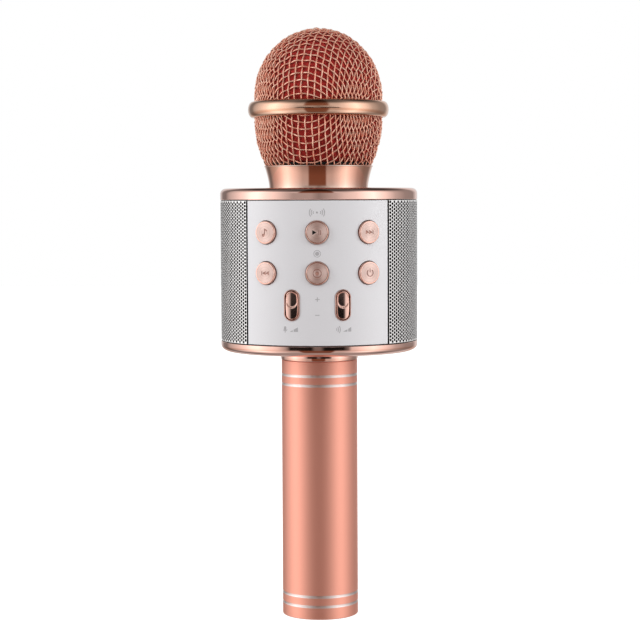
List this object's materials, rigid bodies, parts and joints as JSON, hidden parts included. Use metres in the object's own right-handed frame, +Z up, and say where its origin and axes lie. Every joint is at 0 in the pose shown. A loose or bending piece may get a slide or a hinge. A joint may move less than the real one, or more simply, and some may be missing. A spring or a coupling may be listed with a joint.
{
  "type": "karaoke microphone",
  "caption": "Hand-held karaoke microphone: wire-mesh ball head, loudspeaker drum with front buttons and rocker keys, straight tube handle.",
  "frame": {"origin": "middle of the handle's flat end", "axes": "+Z up the microphone towards the head, -Y out of the control panel"},
  "size_m": [0.08, 0.081, 0.2388],
  "materials": {
    "grille_wire": "rose-gold plated steel wire",
    "polished_rose_gold": "polished rose-gold plating",
    "brushed_rose_gold": "spun-brushed rose gold",
    "satin_rose_gold": "satin rose-gold anodising",
    "foam": "open-cell foam",
    "silver_lacquer": "satin silver-white lacquer",
    "perforated_steel": "bright perforated sheet",
    "black_plastic": "moulded black",
    "circuit_board": "green solder mask",
    "bare_steel": "plain plated",
    "cone_paper": "pressed black paper",
    "rubber": "matt",
    "cell_wrap": "shrink wrap"
  },
  "bodies": {
    "body": {"top_cap": "polished_rose_gold", "bottom_cap": "polished_rose_gold", "handle_flange": "polished_rose_gold", "rocker_bezel_left": "polished_rose_gold", "rocker_bezel_right": "polished_rose_gold", "handle_tube": "satin_rose_gold", "end_cap": "satin_rose_gold", "control_panel": "silver_lacquer", "port_panel": "silver_lacquer", "left_grille": "perforated_steel", "right_grille": "perforated_steel", "chassis": "black_plastic", "capsule_post": "black_plastic", "rocker_bracket_left": "black_plastic", "rocker_bracket_right": "black_plastic", "battery_holder": "black_plastic", "audio_jack": "black_plastic", "switch_top_left": "black_plastic", "switch_top_middle": "black_plastic", "switch_top_right": "black_plastic", "switch_low_left": "black_plastic", "switch_low_middle": "black_plastic", "switch_low_right": "black_plastic", "control_board": "circuit_board", "port_board": "circuit_board", "mic_capsule": "bare_steel", "flange_nut": "bare_steel", "contact_spring": "bare_steel", "contact_plate": "bare_steel", "usb_socket": "bare_steel", "charge_socket": "bare_steel", "bottom_screw_1": "bare_steel", "bottom_screw_2": "bare_steel", "bottom_screw_3": "bare_steel", "bottom_screw_4": "bare_steel", "speaker_basket_left": "bare_steel", "speaker_magnet_left": "bare_steel", "speaker_surround_left": "rubber", "speaker_basket_right": "bare_steel", "speaker_magnet_right": "bare_steel", "speaker_surround_right": "rubber", "capsule_mount": "rubber", "battery_cell": "cell_wrap"},
    "head": {"grille_dome": "grille_wire", "grille_cup": "grille_wire", "grille_band": "polished_rose_gold", "foam_windscreen": "foam", "neck_collar": "polished_rose_gold"},
    "button_top_left": {"button_top_left": "brushed_rose_gold"},
    "button_top_middle": {"button_top_middle": "brushed_rose_gold"},
    "button_top_right": {"button_top_right": "brushed_rose_gold"},
    "button_low_left": {"button_low_left": "brushed_rose_gold"},
    "button_low_middle": {"button_low_middle": "brushed_rose_gold"},
    "button_low_right": {"button_low_right": "brushed_rose_gold"},
    "rocker_left": {"rocker_left": "polished_rose_gold", "rocker_pin_left": "bare_steel"},
    "rocker_right": {"rocker_right": "polished_rose_gold", "rocker_pin_right": "bare_steel"},
    "cone_left": {"speaker_cone_left": "cone_paper"},
    "cone_right": {"speaker_cone_right": "cone_paper"}
  },
  "joints": [
    {"name": "head_lift", "type": "slide", "parent": "body", "child": "head", "axis": [0, 0, 1], "range_m": [0, 0.05]},
    {"name": "press_top_left", "type": "slide", "parent": "body", "child": "button_top_left", "axis": [0.5, 0.866, 0], "range_m": [0, 0.0005]},
    {"name": "press_top_middle", "type": "slide", "parent": "body", "child": "button_top_middle", "axis": [0, 1, 0], "range_m": [0, 0.0005]},
    {"name": "press_top_right", "type": "slide", "parent": "body", "child": "button_top_right", "axis": [-0.5, 0.866, 0], "range_m": [0, 0.0005]},
    {"name": "press_low_left", "type": "slide", "parent": "body", "child": "button_low_left", "axis": [0.5, 0.866, 0], "range_m": [0, 0.0005]},
    {"name": "press_low_middle", "type": "slide", "parent": "body", "child": "button_low_middle", "axis": [0, 1, 0], "range_m": [0, 0.0005]},
    {"name": "press_low_right", "type": "slide", "parent": "body", "child": "button_low_right", "axis": [-0.5, 0.866, 0], "range_m": [0, 0.0005]},
    {"name": "rock_left", "type": "hinge", "parent": "body", "child": "rocker_left", "pos_m": [-0.0091, -0.03545, 0.1287], "axis": [0.9686, -0.2487, 0], "range_deg": [-3.5, 3.5]},
    {"name": "rock_right", "type": "hinge", "parent": "body", "child": "rocker_right", "pos_m": [0.0091, -0.03545, 0.1287], "axis": [0.9686, 0.2487, 0], "range_deg": [-3.5, 3.5]},
    {"name": "cone_left", "type": "slide", "parent": "body", "child": "cone_left", "axis": [-1, 0, 0], "range_m": [-0.0012, 0.0012]},
    {"name": "cone_right", "type": "slide", "parent": "body", "child": "cone_right", "axis": [1, 0, 0], "range_m": [-0.0012, 0.0012]}
  ]
}
